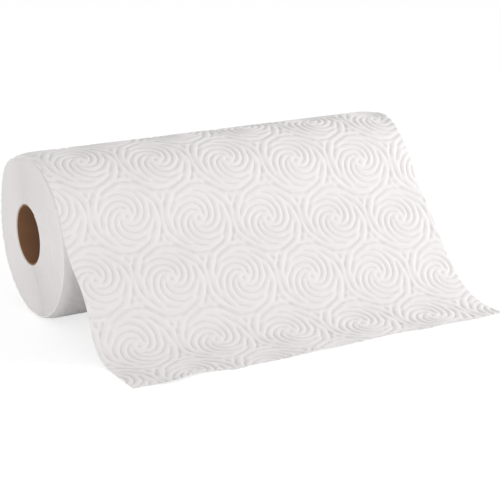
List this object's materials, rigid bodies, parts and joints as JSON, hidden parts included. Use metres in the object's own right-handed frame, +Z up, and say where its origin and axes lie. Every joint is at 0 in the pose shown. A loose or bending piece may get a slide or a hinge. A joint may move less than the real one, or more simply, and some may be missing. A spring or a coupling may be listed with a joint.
{
  "type": "paper towel roll",
  "caption": "Roll of white two-ply embossed paper towel on a cardboard core, lying on its side with the first sheet drawn off the front and laid on the table.",
  "frame": {"origin": "on the table, under the centre of the whole outline", "axes": "+X along the roll's axis, towards the right end as seen from the loose sheet; -Y the way the loose sheet is drawn; +Z up"},
  "size_m": [0.2794, 0.2107, 0.1125],
  "materials": {
    "towel_paper": "matte, embossed, soft",
    "core_board": "matte, uncoated"
  },
  "bodies": {
    "root": {"towel_web": "towel_paper", "cardboard_core": "core_board"}
  },
  "joints": []
}
